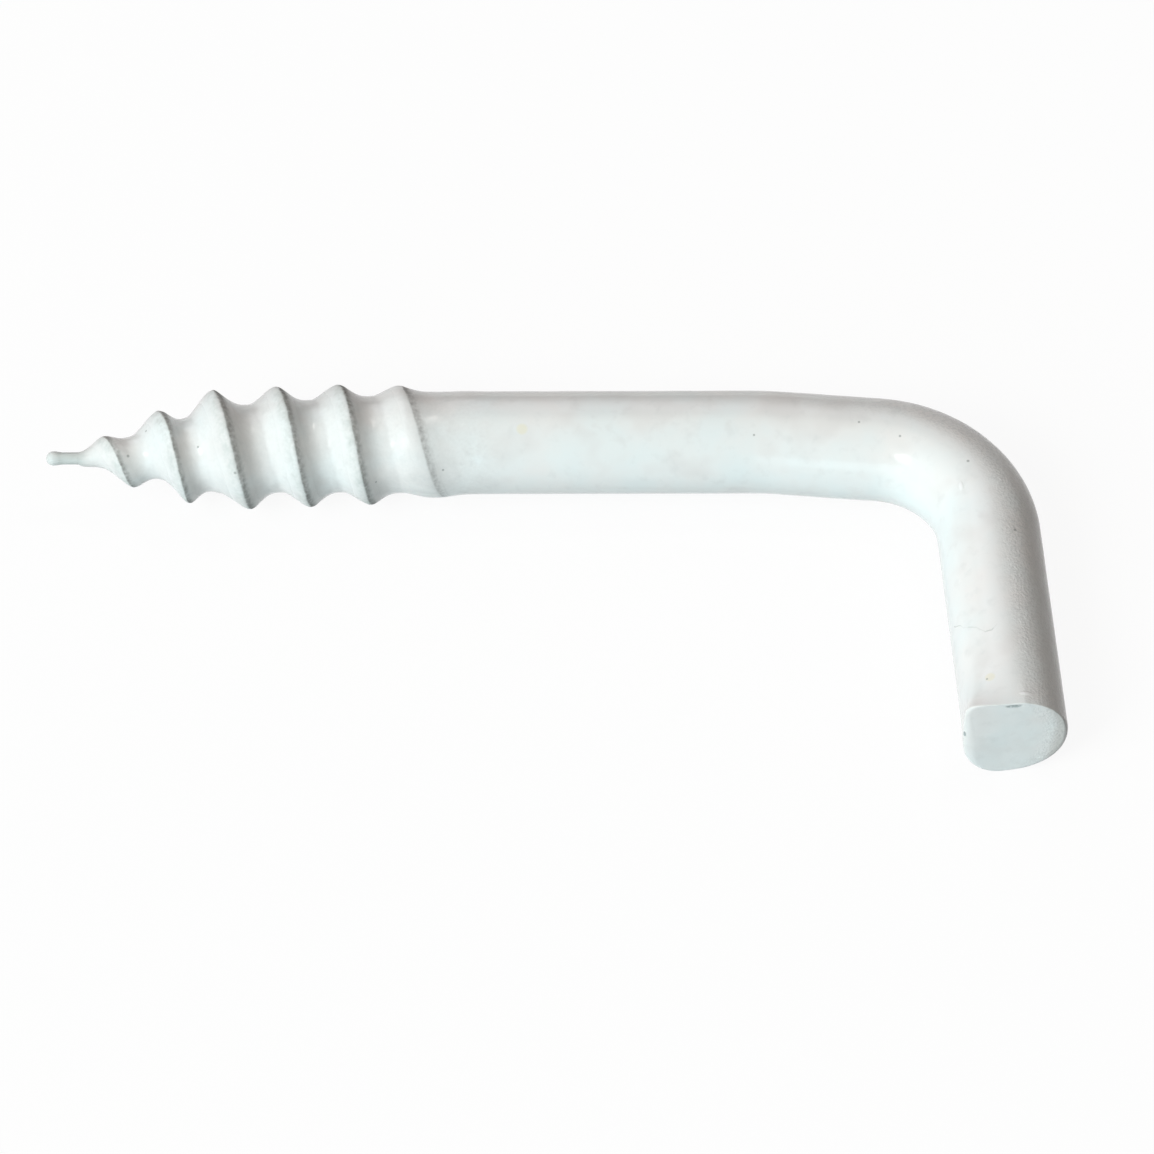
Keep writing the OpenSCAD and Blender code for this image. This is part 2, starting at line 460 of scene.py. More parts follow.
full_radius = size["wire radius"] + size["crest rise"]
full_start = size["nib"] + size["point"]
runout_start = size["thread"] - size["run-out"]
point_turns = size["point"] / size["point pitch"]
full_turns = (runout_start - full_start) / size["pitch"]


def ridge_place(turns):
    """Distance from the tip at which the ridge is, some turns after its start."""
    return (
        size["nib"] + least(turns, point_turns) * size["point pitch"]
        + kept_between(turns - point_turns, 0.0, full_turns) * size["pitch"]
        + most(turns - point_turns - full_turns, 0.0) * size["run-out pitch"]
    )


def necked(s):
    """The nib is a little thinner behind its round tip, and widens again on the point."""
    behind_tip = ease((s - size["nib radius"]) / (size["nib"] * NECK_SHARE))
    return 1.0 - size["nib neck"] * behind_tip * (1.0 - ease((s - size["nib"]) / size["nib"]))


def core_radius(s):
    tapered = kept_between((s - size["nib"]) / size["point"], 0.0, 1.0)
    along = kept_between((s - full_start) / (runout_start - full_start), 0.0, 1.0)
    sink = blend(size["root sink"], size["root sink at run-out"], along)
    sunk = blend(sink, size["wire radius"] * 0.0, ease((s - runout_start) * 3.0 / size["run-out"]))
    full_core = size["wire radius"] - size["root sink"]
    cone = blend(size["nib radius"], full_core, tapered ** size["core fullness"])
    on_point = s < full_start
    return blend(size["wire radius"] - sunk, cone, on_point)


def crest_radius(s):
    tapered = kept_between((s - size["nib"]) / size["point"], 0.0, 1.0)
    faded = ease((s - size["thread"] + size["crest fade"]) / size["crest fade"])
    crest = blend(size["nib radius"], full_radius, tapered ** size["point fullness"])
    return blend(crest, size["wire radius"], faded), faded


def ridge_left(faded):
    """Share of the ridge that is left where it draws out next to the shank."""
    return 1.0 - faded


def ridge_height(turn_share):
    """Height of the ridge as a share, at a share of a turn after a crest."""
    on_front = turn_share > size["back flank"]
    off = blend(turn_share / size["back flank"], (1.0 - turn_share) / size["front flank"], on_front)
    off = kept_between(off, 0.0, 1.0)
    hollow = blend(size["back hollow"], size["front hollow"], on_front)
    rounding = size["crest rounding"]
    spread = (off * off + rounding * rounding).maths("SQRT") - rounding
    whole = (rounding * rounding + 1.0).maths("SQRT") - rounding
    return most(1.0 - spread / whole, 0.0) ** hollow


# %% The thread's axis, which bends off towards the nib
first_crest = size["nib"] + size["point pitch"] / 2.0
bent_length = size["thread"] - first_crest


def axis_at(s):
    """Shift of the thread's axis towards the pin, and its lean, at a distance from the tip."""
    bent = kept_between((size["thread"] - s) / bent_length, 0.0, 1.0)
    on_ridge = ease((s - size["nib"]) / (first_crest - size["nib"]))
    shift = size["point shift"] * bent * bent + size["nib shift"] * (1.0 - on_ridge)
    lean = (size["point shift"] * bent * 2.0 / bent_length).maths("ARCTANGENT") * on_ridge
    return shift, lean


def thread_place(s, radius, around):
    shift, lean = axis_at(s)
    side = radius * (around * TURN).maths("COSINE")
    x, y, heading = on_path(wire_length())
    return skin_place(
        x, y, heading,
        side * lean.maths("COSINE") - shift,
        side * lean.maths("SINE") + size["thread"] - s,
        radius * (around * TURN).maths("SINE"),
    )


# %% The thread's grid
grid, around, along = flat_grid(TURN_ROWS * GRID_TURNS)
row_turns = along * float(GRID_TURNS)
row_turns = row_turns - (row_turns * TURN).maths("SINE") * (ROW_CROWDING / TURN)
turns = row_turns - float(SPARE_TURNS) + around - size["start angle"] / 360.0
s = ridge_place(turns)
# One turn near the point was rolled a little out of place
s = s - size["thread kick"] * ease(1.0 - (turns - KICK_TURN).maths("ABSOLUTE") / KICK_REACH)
# Rows next to a ring are laid on it, so that no sliver is left there
s = size["nib"] + (s - size["nib"]) * (s > size["nib"] + RING_GAP)
s = size["thread"] - (size["thread"] - s) * (s < size["thread"] - RING_GAP)
ridge = ridge_height(row_turns.maths("FRACT"))
crest, faded = crest_radius(s)
# A narrow strip just behind the crest, which the enamel paints dark as shade
past_crest = row_turns.maths("FRACT") * size["pitch"] / size["crest shade strip"]
behind = ease(past_crest * 4.0) * (1.0 - ease(past_crest - 0.25)) * ridge_left(faded) ** 0.5
# A wider strip behind that, which the enamel darkens with dust and painted shade
lee = 1.0 - ease(row_turns.maths("FRACT") * size["pitch"] / size["lee of the crest"])
# The whole back flank, widest halfway down, which the enamel tints with a faint painted warm shade
down_flank = kept_between(row_turns.maths("FRACT") / size["back flank"], 0.0, 1.0)
back_flank = (down_flank * math.pi).maths("SINE") * ridge_left(faded) ** 0.5
# The enamel leaves the crest slightly ragged
ring = shape.vector(
    (around * TURN).maths("COSINE"), (around * TURN).maths("SINE"), s * RAGGED_STRETCH,
)
ragged = shape.parts(shape.node(
    "ShaderNodeTexNoise", None,
    {"Vector": ring, "Scale": RAGGED_WAVES, "Detail": 3.0, "Roughness": 0.7}, 1,
))
wobble = size["crest wobble"] * ridge_left(faded) * ease(s - size["nib"])
crest = crest - ragged[0] * wobble
radius = blend(core_radius(s), crest, ridge) * necked(s)
s_ragged = s + (ragged[1] - 0.5) * wobble * ridge * 2.0
thread_skin = placed(
    grid, thread_place(s_ragged, radius, around),
    {
        "crest": ridge * ridge_left(faded), "behind_crest": behind,
        "back_flank": back_flank, "tip_distance": s, "lee": lee * ridge_left(faded) ** 0.5,
        "upper_side": ((around * TURN).maths("COSINE") + 1.0) * 0.5,
    },
)
print("thread: rows", TURN_ROWS * GRID_TURNS)

# %% [markdown]
# ## The nib
# The ridge starts from a short blunt nib that the enamel has rounded. It is a round
# rod with a half ball on its end, laid out from the pole to the ring on which the
# thread begins.

# %% The nib's grid
grid, around, along = flat_grid(NIB_ROWS)
rod = size["nib"] - size["nib radius"]
run = (1.0 - along) * (rod + size["nib radius"] * (math.pi / 2))
rise = most(run - rod, 0.0) / size["nib radius"]
s = size["nib"] - least(run, rod) - rise.maths("SINE") * size["nib radius"]
nib_skin = placed(
    grid, thread_place(s, size["nib radius"] * rise.maths("COSINE") * necked(s), around),
    {"tip_distance": s},
)
print("nib: rows", NIB_ROWS)

# %% [markdown]
# ## The plain wire
# From the end of the thread the wire runs straight, takes a slight set, bends through
# about 80 degrees and goes on as the pin. Its skin is the same round all the way.

# %% The plain wire's grid
grid, around, along = flat_grid(WIRE_ROWS)
distance = wire_length() - along * (wire_length() + size["pin"] - size["crop length"])
x, y, heading = on_path(distance)
wire_skin = placed(
    grid,
    skin_place(
        x, y, heading,
        size["wire radius"] * (around * TURN).maths("COSINE"),
        around * 0.0,
        size["wire radius"] * (around * TURN).maths("SINE"),
    ),
    {
        "tip_distance": size["thread"] + wire_length() - distance,
        "upper_side": ((around * TURN).maths("COSINE") + 1.0) * 0.5,
    },
)
print("plain wire: rows", WIRE_ROWS)

# %% [markdown]
# ## The cropped end
# The pin was cropped off with a blade. The blade squashed one side nearly square and
# left the other round, and it rolled the edges over, widest on the flattened side.
# A boolean cut would give a sharp flat face, which no sheared wire has. Here the
# outline is a superellipse whose sharpness changes round the pin: two is a circle,
# and the higher it is, the squarer the corner. The skin swells to that outline over
# the last stretch, turns over along the rim in a quarter wave, and closes on the face.

# %% Outline of the cropped end
# Shares of the grid's rows that go to the side of the pin and to its rim
SIDE_SHARE = 0.34
RIM_SHARE = 0.3
# Where the rim rolls over most: an angle round the pin in degrees, and the cosine at
# which the roll ends
RIGHT_ROLL_IN = (-40.0, 0.2)
RIGHT_ROLL_BACK = (-35.0, 0.1)
LEFT_ROLL = (183.0, 0.45)
# How far a roll goes back along the pin, as a share of how far it goes in
RIGHT_BACK_SHARE = 1.4
LEFT_BACK_SHARE = 0.36
# The dents of the face, in waves a millimetre
DENT_WAVES = 0.7


def cropped_radius(angle):
    """Radius of the squashed outline at an angle round the pin."""
    across, upwards = angle.maths("COSINE"), angle.maths("SINE")
    squashed = ease((0.25 - across) / 0.5)
    on_top = ease((upwards + 0.3) / 0.6)
    corner = blend(size["crop lower sharpness"], size["crop upper sharpness"], on_top)
    power = blend(2.0 + angle * 0.0, corner, squashed)
    half = blend(size["wire radius"], size["crop half width"], ease((-across - 0.2) / 0.6))
    # A power of exactly zero would fail, so both parts are kept just above it
    part_across = most(across.maths("ABSOLUTE"), 0.001) ** power
    part_upwards = most(upwards.maths("ABSOLUTE"), 0.001) ** power
    return half * (part_across + part_upwards) ** (-1.0 / power)


def lobe(angle, middle, low):
    """A soft bump round one direction of the rim, zero where the cosine is under low."""
    return ease(((angle - middle * DEGREE).maths("COSINE") - low) / (1.0 - low))


def rolled_in(angle):
    """How far the rim draws in from the outline."""
    return (
        size["rim roll"]
        + size["rim roll on the right"] * lobe(angle, *RIGHT_ROLL_IN)
        + (size["rim roll on the left"] - size["rim roll"]) * lobe(angle, *LEFT_ROLL)
    )


def rolled_back(angle):
    """How far back along the pin the rim starts to turn over."""
    return (
        size["rim roll"]
        + size["rim roll on the right"] * RIGHT_BACK_SHARE * lobe(angle, *RIGHT_ROLL_BACK)
        + size["rim roll on the left"] * LEFT_BACK_SHARE * lobe(angle, *LEFT_ROLL)
    )


# %% The cropped end's grid
grid, around, along = flat_grid(END_ROWS)
angle = around * TURN
side_done = kept_between(along / SIDE_SHARE, 0.0, 1.0)
rim_done = kept_between((along - SIDE_SHARE) / RIM_SHARE, 0.0, 1.0)
face_done = kept_between(
    (along - SIDE_SHARE - RIM_SHARE) / (1.0 - SIDE_SHARE - RIM_SHARE), 0.0, 1.0,
)
rim_depth = rolled_back(angle)
set_back = size["face set-back"] * ease((angle.maths("SINE") + 0.4) / 1.2)
side_length = size["crop length"] - set_back - rim_depth
outline = blend(size["wire radius"], cropped_radius(angle), side_done * side_done)
rim_angle = rim_done * (math.pi / 2)
rim_radius = outline - rolled_in(angle) * (1.0 - rim_angle.maths("COSINE"))
radius = rim_radius * (1.0 - face_done)
face_x, face_z = radius * angle.maths("COSINE"), radius * angle.maths("SINE")
dents = shape.node(
    "ShaderNodeTexNoise", None,
    {"Vector": shape.vector(face_x, 0.0, face_z), "Scale": DENT_WAVES, "Detail": 1.0},
)
open_face = 1.0 - face_done
depth = (
    side_done * side_length + rim_depth * rim_angle.maths("SINE")
    + set_back * (1.0 - open_face * open_face) - size["face dents"] * dents * ease(face_done * 1.6)
)
end_skin = placed(
    grid,
    skin_place(
        around * 0.0, -(size["pin"] - size["crop length"]) - depth, around * 0.0,
        face_x, around * 0.0, face_z,
    ),
    {
        "tip_distance": size["thread"] + wire_length() + size["pin"] + angle * 0.0,
        "upper_side": (angle.maths("COSINE") + 1.0) * 0.5 * (1.0 - face_done),
    },
)
print("cropped end: rows", END_ROWS)

# %% [markdown]
# ## Joining the skin
# The four grids are joined and their touching points merged, which closes the seams,
# the pole of the nib and the middle of the end face. Dipped enamel is never quite
# even, so the skin then sinks in by a few hundredths of a millimetre in soft waves.
# The last step brings the millimetres to metres.

# %% The end of the tree
# Points closer than this are one, in millimetres
MERGE_DISTANCE = 0.0006
# The slow unevenness of the enamel, in waves a millimetre
ENAMEL_WAVES = 0.55
joined = shape.node("GeometryNodeJoinGeometry")
joined_node = joined.socket.node
for skin in (end_skin, wire_skin, thread_skin, nib_skin):
    shape_tree.links.new(skin.socket, joined_node.inputs[0])
merged = shape.node(
    "GeometryNodeMergeByDistance", None, {"Geometry": joined, "Distance": MERGE_DISTANCE},
)
place = shape.node("GeometryNodeInputPosition")
slow = shape.node(
    "ShaderNodeTexNoise", {"noise_dimensions": "4D"},
    {
        "Vector": place, "W": Value(shape, tree_inputs.outputs["seed"]),
        "Scale": ENAMEL_WAVES, "Detail": 1.0,
    },
)
normal = shape.node("GeometryNodeInputNormal")
sunk_in = shape.scaled(normal, most(least(slow, 1.0), 0.0) * size["enamel unevenness"] * -1.0)
uneven = shape.node("GeometryNodeSetPosition", None, {"Geometry": merged, "Offset": sunk_in})
in_metres = shape.node(
    "GeometryNodeSetPosition", None,
    {"Geometry": uneven, "Position": shape.scaled(shape.node("GeometryNodeInputPosition"), MM)},
)
smooth = shape.node(
    "GeometryNodeSetShadeSmooth", None, {"Geometry": in_metres, "Shade Smooth": True},
)
realized = shape.node("GeometryNodeRealizeInstances", None, {"Geometry": smooth})
finished = shape.node(
    "GeometryNodeSetMaterial", None,
    {"Geometry": realized, "Material": Value(shape, tree_inputs.outputs["enamel"])},
)
tree_output = shape_tree.nodes.new("NodeGroupOutput")
shape_tree.links.new(finished.socket, tree_output.inputs[0])
print("nodes in the tree:", len(shape_tree.nodes))

# %% [markdown]
# ## From tree to mesh
# The tree hangs on a modifier for a moment. Its inputs are set by the identifiers of
# their sockets, and the evaluated result is copied into a plain mesh, because the
# finished piece must not depend on the tree. A bad seam would show as an open edge,
# and a skin that is inside out as a negative volume, so both are measured.

# %% Make the skin and turn it into a plain mesh
enamel = bpy.data.materials.new("white_enamel")
enamel.use_nodes = True

holder = bpy.data.objects.new("hinge_pin_skin", bpy.data.meshes.new("hinge_pin_skin"))
bpy.context.scene.collection.objects.link(holder)
modifier = holder.modifiers.new("shape", "NODES")
modifier.node_group = shape_tree
inputs_by_name = {**SIZES, "seed": SEED, "enamel": enamel}
for item in shape_tree.interface.items_tree:
    if item.item_type == "SOCKET" and item.in_out == "INPUT":
        modifier[item.identifier] = inputs_by_name[item.name]
bpy.context.view_layer.update()
evaluated = holder.evaluated_get(bpy.context.evaluated_depsgraph_get())
skin_mesh = bpy.data.meshes.new_from_object(evaluated)
skin_mesh.name = "enamelled_wire"
holder.modifiers.remove(modifier)
bpy.data.objects.remove(holder)

wire_piece = bpy.data.objects.new("enamelled_wire", skin_mesh)
bpy.context.scene.collection.objects.link(wire_piece)

# %% Look the mesh over
checked = bmesh.new()
checked.from_mesh(skin_mesh)
volume = checked.calc_volume(signed=True)
if volume < 0:
    bmesh.ops.reverse_faces(checked, faces=checked.faces)
    checked.to_mesh(skin_mesh)
open_edges = sum(1 for e in checked.edges if len(e.link_faces) != 2)
triangles = sum(len(f.verts) - 2 for f in checked.faces)
checked.free()
corners = [Vector(c) for c in wire_piece.bound_box]
print("skin:", triangles, "triangles,", open_edges, "open edges")
print("volume in mm3:", round(volume / MM ** 3, 1))
for corner in (corners[0], corners[6]):
    print("corner of the skin's box in mm:", [round(c / MM, 3) for c in corner])
print("attributes:", [a.name for a in skin_mesh.attributes])

# %% [markdown]
# ## Places of the marks
# The enamel holds some specks of dust, two faint stains, two flat beads where it ran
# together, which are also painted whiter as highlights, a fine crack across the pin and
# two dark nicks at the edge of the cropped face. A mark could be painted on a UV map,
# but a bent wire has no simple one. Each mark is named by the pixel at which the camera
# sees it instead, and a ray through that pixel finds its place on the skin. From then
# on the place is fixed in the space of the piece, whatever the view.

# %% Cast rays through named pixels
skin_tree = BVHTree.FromPolygons(
    [v.co for v in skin_mesh.vertices], [p.vertices for p in skin_mesh.polygons],
)


def place_seen_at(pixel):
    """The place on the skin, in millimetres, that a pixel of the picture shows."""
    right, up = pixel_slopes(pixel)
    ray = (view_right * right + view_up * up - view_back).normalized()
    place, _, _, _ = skin_tree.ray_cast(camera_place, ray)
    return place / MM


# Specks and stains have one radius, nicks and beads one for each axis, in millimetres
SPECKS = {
    (754, 435): 0.045, (859, 422): 0.05, (900, 436): 0.05, (968, 461): 0.06,
    (1015, 530): 0.065, (987, 679): 0.045, (146, 431): 0.055, (128, 456): 0.06,
    (198, 447): 0.045, (235, 473): 0.06, (443, 470): 0.05, (376, 482): 0.045,
}
STAINS = {(522, 429): 0.22, (990, 677): 0.2}
CRACK = [(954, 627), (964, 627.5), (975, 627), (985, 631.5), (991, 630), (997, 624)]
NICKS = {(1014, 706.5): (0.3, 0.09, 0.07), (964.6, 734): (0.05, 0.1, 0.14)}
BEADS_AND_HIGHLIGHTS = {(1026, 693): (0.3, 0.11, 0.24), (961, 486): (0.1, 0.24, 0.2)}
speck_places, stain_places, nick_places, bead_and_highlight_places = (
    {tuple(place_seen_at(pixel)): extent for pixel, extent in marks.items()}
    for marks in (SPECKS, STAINS, NICKS, BEADS_AND_HIGHLIGHTS)
)
crack_places = [place_seen_at(pixel) for pixel in CRACK]
print("crack from", crack_places[0], "to", crack_places[-1])

# %% [markdown]
# ## The enamel
# The piece was dipped in white enamel. The coat is glossy and slightly wavy, and
# coarser on the outer side of the bend and of the pin, which is painted greyer as
# shade. It drew back from the sharp crests, where a thin grey edge of metal grins
# through; just behind each crest a dark strip is painted as shade, and behind that dust
# and painted shade darken the upper side, while the back flanks take a faint painted
# warm shade. The beads are painted whiter as highlights. It is greenish grey round the
# nib, and its white drifts a little between warm and cool.
# A flat white would do for a far view, but close up it is these that tell enamel from
# plastic. The patterns are laid out in the space of the piece, and the thread's own
# marks come from attributes that the node tree stored on the skin.

# %% Start the enamel
coat = Bench(enamel.node_tree)
enamel.node_tree.nodes.clear()
where = coat.scaled(coat.node("ShaderNodeTexCoord", output="Object"), 1 / MM)


def clouds(scale, seed, detail=2.0):
    """A soft noise between about 0.25 and 0.75, its scale in waves a millimetre."""
    return coat.node(
        "ShaderNodeTexNoise", {"noise_dimensions": "4D"},
        {"Vector": where, "W": seed, "Scale": scale, "Detail": detail},
    )


def stored(name):
    """An attribute that the node tree left on the skin."""
    return coat.node("ShaderNodeAttribute", {"attribute_name": name}, output="Fac")


def reach(place, radii):
    """How far the skin is from a place, where 1 is the edge of a mark with these radii."""
    away = coat.node("ShaderNodeVectorMath", {"operation": "SUBTRACT"}, [where, tuple(place)])
    shares = coat.node("ShaderNodeVectorMath", {"operation": "DIVIDE"}, [away, tuple(radii)])
    return coat.node("ShaderNodeVectorMath", {"operation": "LENGTH"}, [shares], "Value")


def spot(place, radii):
    """One in the middle of a spot and zero outside it, with a soft edge."""
    return ease((1.3 - reach(place, radii)) * 1.6)


def dome(place, radii):
    """A soft dome over a place: one at its top and zero at its foot."""
    far = reach(place, radii)
    return most(1.0 - far * far, 0.0)


def strongest(marks):
    """One mask for several marks: at each point, the strongest of them."""
    marks = list(marks)
    whole = marks[0]
    for mark in marks[1:]:
        whole = most(whole, mark)
    return whole


# %% Masks
# Distances from the tip, in millimetres, at which a mask starts and over which it grows
THREAD_ENDS, THREAD_FADE = 19.5, 2.5
BEND_STARTS, BEND_GROWS = 28.0, 9.0
# Stray specks: cells a millimetre, radius in millimetres, and the share of bare cells
STRAY_CELLS, STRAY_RADIUS, STRAY_RARITY = 0.7, 0.06, 0.72

x, y, z = coat.parts(where)
tip_distance = stored("tip_distance")
crest_line = stored("crest")
behind_crest = stored("behind_crest")
lee = stored("lee")
upper_side = stored("upper_side")
back_flank = stored("back_flank")
on_thread = ease((THREAD_ENDS - tip_distance) / THREAD_FADE)
# The outer side of the bend and of the pin has the coarser enamel
from_bend = ease((tip_distance - BEND_STARTS) / BEND_GROWS)
coarse = ease((upper_side - 0.45) / 0.25) * (1.0 - on_thread) * from_bend
slow_drift = clouds(0.22, 1.0)
patches = clouds(0.6, 2.0)
mottle = clouds(2.2, 3.0)
fine = clouds(7.0, 8.0, 3.0)
grain = clouds(11.0, 4.0, 2.0)

dust = strongest(spot(place, (radius,) * 3) for place, radius in speck_places.items())
stains = strongest(spot(place, (radius,) * 3) for place, radius in stain_places.items())
nick = strongest(spot(place, radii) for place, radii in nick_places.items())
beads_and_highlights = strongest(dome(place, radii) for place, radii in bead_and_highlight_places.items())

# Stray specks all over: a few cells of a Voronoi pattern hold a dot
cells = coat.node("ShaderNodeTexVoronoi", None, {"Vector": where, "Scale": STRAY_CELLS})
cell_number = coat.parts(Value(coat, cells.socket.node.outputs["Color"]))[0]
stray = (1.0 - ease(cells / STRAY_CELLS / STRAY_RADIUS)) * (cell_number > STRAY_RARITY)
print("masks made")

# %% The crack
CRACK_WIDTH = 0.05
CRACK_WANDER = 0.06
CRACK_MARGIN = 0.05

crack_start, crack_end = crack_places[0][0], crack_places[-1][0]
crack_low = min(p[1] for p in crack_places) - CRACK_MARGIN
crack_high = max(p[1] for p in crack_places) + CRACK_MARGIN
crack_stops = []
for p in crack_places:
    stop = (p[0] - crack_start) / (crack_end - crack_start)
    level = (p[1] - crack_low) / (crack_high - crack_low)
    crack_stops.append((stop, (level, level, level, 1.0)))
crack_share = (x - crack_start) / (crack_end - crack_start)
crack_level = coat.node(
    "ShaderNodeValToRGB", {"stops": crack_stops}, [crack_share + (mottle - 0.5) * 0.12])
crack_y = coat.parts(crack_level)[0] * (crack_high - crack_low) + crack_low
crack_y = crack_y + (grain - 0.5) * CRACK_WANDER
in_crack = 1.0 - ease((y - crack_y).maths("ABSOLUTE") / CRACK_WIDTH)
in_crack = in_crack * (crack_share > 0.0) * (crack_share < 1.0) * (z > 0.0)
in_crack = in_crack * kept_between((clouds(1.6, 6.0) - 0.38) * 6.0, 0.25, 1.0)
print("crack between x", round(crack_start, 2), "and", round(crack_end, 2))

# %% Colour of the enamel
WARM_WHITE = (0.885, 0.865, 0.845, 1.0)
COOL_WHITE = (0.845, 0.895, 0.89, 1.0)
SHADED_WHITE = (0.72, 0.73, 0.72, 1.0)
WARM_FLANK_SHADE = (0.74, 0.69, 0.65, 1.0)
THIN_ENAMEL = (0.58, 0.63, 0.60, 1.0)
NIB_GREEN = (0.44, 0.50, 0.47, 1.0)
LEE_GREY = (0.4, 0.39, 0.37, 1.0)
CREST_SHADE_GREY = (0.24, 0.23, 0.22, 1.0)
DUST_GREY = (0.34, 0.35, 0.34, 1.0)
STAIN_CREAM = (0.86, 0.82, 0.62, 1.0)
CRACK_GREY = (0.52, 0.54, 0.51, 1.0)
OUTER_SHADE_GREY = (0.56, 0.54, 0.51, 1.0)
NICK_GREY = (0.36, 0.41, 0.42, 1.0)
BEAD_HIGHLIGHT_WHITE = (0.95, 0.95, 0.95, 1.0)

warmth = kept_between((slow_drift - 0.5) * 2.5 + (patches - 0.5) * 2.0 + 0.5, 0.0, 1.0)
colour = coat.mixed(COOL_WHITE, WARM_WHITE, warmth)
cloudiness = (
    kept_between((patches - 0.52) * 2.0, 0.0, 0.35) + kept_between((mottle - 0.55) * 1.5, 0.0, 0.3)
)
thread_grey = on_thread * kept_between(fine * 0.7 - 0.1, 0.1, 0.4)
colour = coat.mixed(colour, SHADED_WHITE, cloudiness + thread_grey)
on_neck = ease((tip_distance - 0.35) / 0.3) * (1.0 - ease((tip_distance - 1.0) / 0.8))
on_nib = ease((2.4 - tip_distance) / 1.2) * 0.35
colour = coat.mixed(colour, THIN_ENAMEL, on_nib)
colour = coat.mixed(colour, NIB_GREEN, on_neck * kept_between((mottle - 0.25) * 2.0, 0.35, 0.85))
# Painted warm shade on the back flanks of the thread
colour = coat.mixed(colour, WARM_FLANK_SHADE, back_flank * kept_between((patches - 0.4) * 1.5, 0.0, 0.15))
speckled = kept_between((fine - 0.36) * 3.2, 0.0, 1.0)
worn = kept_between((mottle + fine - 0.7) * 1.3, 0.1, 1.0)
thin_crest = ease((crest_line - 0.6) / 0.35) * worn
colour = coat.mixed(colour, THIN_ENAMEL, thin_crest * 0.8)
# Dust and painted shade in the lee of each crest, darker on the upper side of the thread
lee_dust_and_shade = lee * ease((upper_side - 0.5) / 0.35) * (0.25 + speckled * 0.75)
colour = coat.mixed(colour, LEE_GREY, lee_dust_and_shade * 0.62)
# Painted shade: a dark, speckled strip just behind each crest
colour = coat.mixed(colour, CREST_SHADE_GREY, behind_crest * (0.42 + speckled * 0.5))
pitted = kept_between((grain + fine - 0.95) * 3.0, 0.0, 0.6)
colour = coat.mixed(colour, SHADED_WHITE, coarse * pitted)
# Painted shade: the outer side of the wire is greyer, more so towards the end of the pin
outer_side_shade = ease((upper_side - 0.7) / 0.22) * (0.3 + ease((tip_distance - 30.0) / 8.0) * 0.35)
colour = coat.mixed(colour, OUTER_SHADE_GREY, outer_side_shade * (1.0 - on_thread))
colour = coat.mixed(colour, STAIN_CREAM, stains * 0.5)
colour = coat.mixed(colour, CRACK_GREY, in_crack * 0.6)
colour = coat.mixed(colour, NICK_GREY, nick * kept_between((fine - 0.3) * 4.0, 0.35, 0.9))
# Painted highlights: the beads are whiter
colour = coat.mixed(colour, BEAD_HIGHLIGHT_WHITE, beads_and_highlights * 0.9)
colour = coat.mixed(colour, DUST_GREY, most(dust * 0.7, stray * 0.6))
print("colour made")

# %% Gloss and relief
# Heights in millimetres of the enamel's waves, from the longest to the shortest, on
# the plain wire; and what the thread and the coarse side add to them
LONG_WAVE, MIDDLE_WAVE, SHORT_WAVE = 0.014, 0.004, 0.001
THREAD_LONG, THREAD_MIDDLE = 0.03, 0.012
COARSE_FINE, COARSE_GRAIN = 0.022, 0.02
CRACK_DEPTH, NICK_DEPTH, DUST_HEIGHT, BEAD_HEIGHT = 0.008, 0.03, 0.004, 0.022

roughness = (
    0.12 + on_thread * crest_line * 0.3 + cloudiness * 0.1 + (fine - 0.5) * 0.06
    + behind_crest * 0.4 + dust * 0.3 - beads_and_highlights * 0.05
)
height = (
    (clouds(1.1, 7.0, 1.0) - 0.5) * (LONG_WAVE + on_thread * THREAD_LONG)
    + (mottle - 0.5) * (MIDDLE_WAVE + on_thread * THREAD_MIDDLE)
    + (fine - 0.5) * (SHORT_WAVE + coarse * COARSE_FINE)
    + (grain - 0.5) * (SHORT_WAVE + coarse * COARSE_GRAIN)
    - in_crack * CRACK_DEPTH - nick * NICK_DEPTH + dust * DUST_HEIGHT + beads_and_highlights * BEAD_HEIGHT
)
relief = coat.node(
    "ShaderNodeBump", None, {"Strength": 1.0, "Distance": MM, "Height": height}, "Normal",
)
gloss = coat.node(
    "ShaderNodeBsdfPrincipled", None,
    {
        "Base Color": colour, "Roughness": kept_between(roughness, 0.05, 1.0), "Normal": relief,
        "IOR": 1.5, "Specular IOR Level": 0.3,
    },
)
coat.node("ShaderNodeOutputMaterial", None, {"Surface": gloss})
print("nodes in the enamel:", len(enamel.node_tree.nodes))

# %% Hand the piece to the frame
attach(wire_piece, "root")
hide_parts("hinge_pin")

# %% [markdown]
# ## The floor
# The piece lies on a plain pale floor. For the camera, and in reflections, the floor
# mostly glows white, and the rest of it is lit as any floor is, which keeps the soft
# shadow where the wire touches down. For the light that bounces back up to the piece
# it is a plain pale grey.

# %% Floor
FLOOR_HALF = 1.5
FLOOR_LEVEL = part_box("hinge_pin")[0][2]
FLOOR_BOUNCE = (0.45, 0.45, 0.45, 1.0)
FLOOR_SEEN = (1.0, 1.0, 1.0, 1.0)
FLOOR_GLOW = 0.92

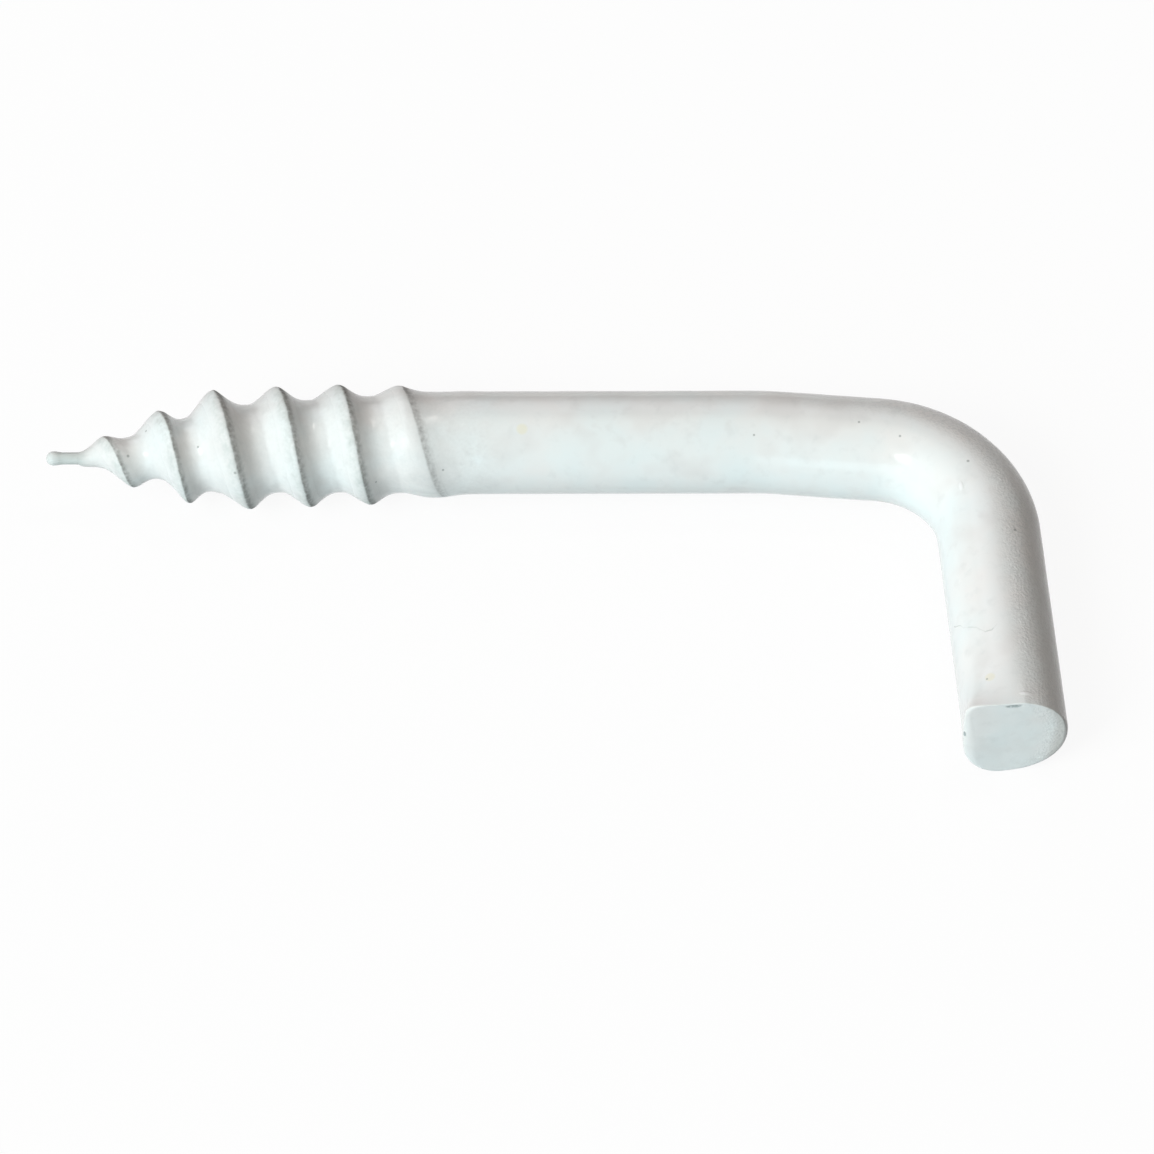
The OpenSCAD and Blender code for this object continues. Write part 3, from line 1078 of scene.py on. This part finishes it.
floor_mesh = bpy.data.meshes.new("floor")
floor_corners = ((-1, -1), (1, -1), (1, 1), (-1, 1))
floor_mesh.from_pydata(
    [(x * FLOOR_HALF, y * FLOOR_HALF, FLOOR_LEVEL) for x, y in floor_corners],
    [], [(0, 1, 2, 3)],
)
floor = bpy.data.objects.new("floor", floor_mesh)
bpy.context.scene.collection.objects.link(floor)
floor_paint = bpy.data.materials.new("pale_floor")
floor_paint.use_nodes = True
floor_paint.node_tree.nodes.clear()
ground = Bench(floor_paint.node_tree)
ray = ground.node("ShaderNodeLightPath").socket.node.outputs
seen = most(
    Value(ground, ray["Is Camera Ray"]),
    most(Value(ground, ray["Is Glossy Ray"]), Value(ground, ray["Is Transmission Ray"])),
)
floor_colour = ground.mixed(FLOOR_BOUNCE, FLOOR_SEEN, seen)
lit = ground.node("ShaderNodeBsdfDiffuse", None, {"Color": floor_colour})
glow = ground.node("ShaderNodeEmission", None, {"Color": FLOOR_SEEN, "Strength": 1.0})
mixed = ground.node("ShaderNodeMixShader", None, [seen * FLOOR_GLOW, lit, glow])
ground.node("ShaderNodeOutputMaterial", None, {"Surface": mixed})
floor_mesh.materials.append(floor_paint)
print("floor at", FLOOR_LEVEL)

# %% [markdown]
# ## The light
# The piece is seen by daylight from a window on the left. The window is wide and
# curtained, so it gives soft shade but no sharp image in the gloss, and one bare pane
# beside it gives the small bright spot on the bend. The white floor and the pale room
# send a cool light back from below and in front, and a weaker one from behind. One
# lamp and a bright world would be less work, but the round of a white wire shows only
# by how its shade turns from side to side, and an even light flattens it.
# A lamp's level is the brightness of a white sheet that faces it. The lamps come from
# different sides, and the sides of the piece that face the camera get about one in all,
# so a colour renders much as it is written.

# %% Lamps
LAMP_DISTANCE = 0.9
LAMP_TARGET = Vector((-0.015, 0.0, 0.0))


def lamp(name, towards, width, height, level, colour):
    """A flat lamp that faces the piece from a direction, with its level on a white sheet."""
    data = bpy.data.lights.new(name, "AREA")
    data.shape = "RECTANGLE"
    data.size = width
    data.size_y = height
    data.color = colour
    # A flat lamp of P watts has a radiance of P / (pi * its area), and a sheet that
    # faces it gets that radiance times the solid angle, which is area / distance squared
    data.energy = level * math.pi ** 2 * LAMP_DISTANCE ** 2
    thing = bpy.data.objects.new(name, data)
    direction = Vector(towards).normalized()
    thing.location = LAMP_TARGET + direction * LAMP_DISTANCE
    thing.rotation_euler = direction.to_track_quat("Z", "Y").to_euler()
    bpy.context.scene.collection.objects.link(thing)
    print("lamp", name, "level", level)
    return thing


window = lamp("window", (-0.66, -0.42, 0.62), 0.56, 0.7, 0.77, (0.97, 0.99, 0.985))
window.visible_glossy = False
lamp("window_pane", (-0.54, -0.53, 0.65), 0.23, 0.25, 0.2, (0.965, 0.99, 0.985))
lamp("low_fill", (-0.5, -0.85, 0.14), 0.8, 0.4, 0.36, (0.66, 0.93, 1.0))
lamp("back_light", (-0.2, 0.75, 0.63), 0.6, 0.5, 0.16, (0.9, 0.89, 1.0))
lamp("overhead", (0.0, 0.1, 1.0), 0.5, 0.5, 0.08, (1.0, 0.82, 0.62))
lamp("skylight", (0.33, 0.28, 0.90), 0.26, 0.12, 0.1, (1.0, 0.95, 0.9))

# %% World and view
WORLD_LEVEL = 0.02
world = bpy.data.worlds.new("room")
world.use_nodes = True
bpy.context.scene.world = world
room_light = world.node_tree.nodes["Background"]
room_light.inputs["Color"].default_value = (1.0, 0.97, 0.93, 1.0)
room_light.inputs["Strength"].default_value = WORLD_LEVEL
bpy.context.scene.view_settings.view_transform = "Standard"
print("world level", WORLD_LEVEL)
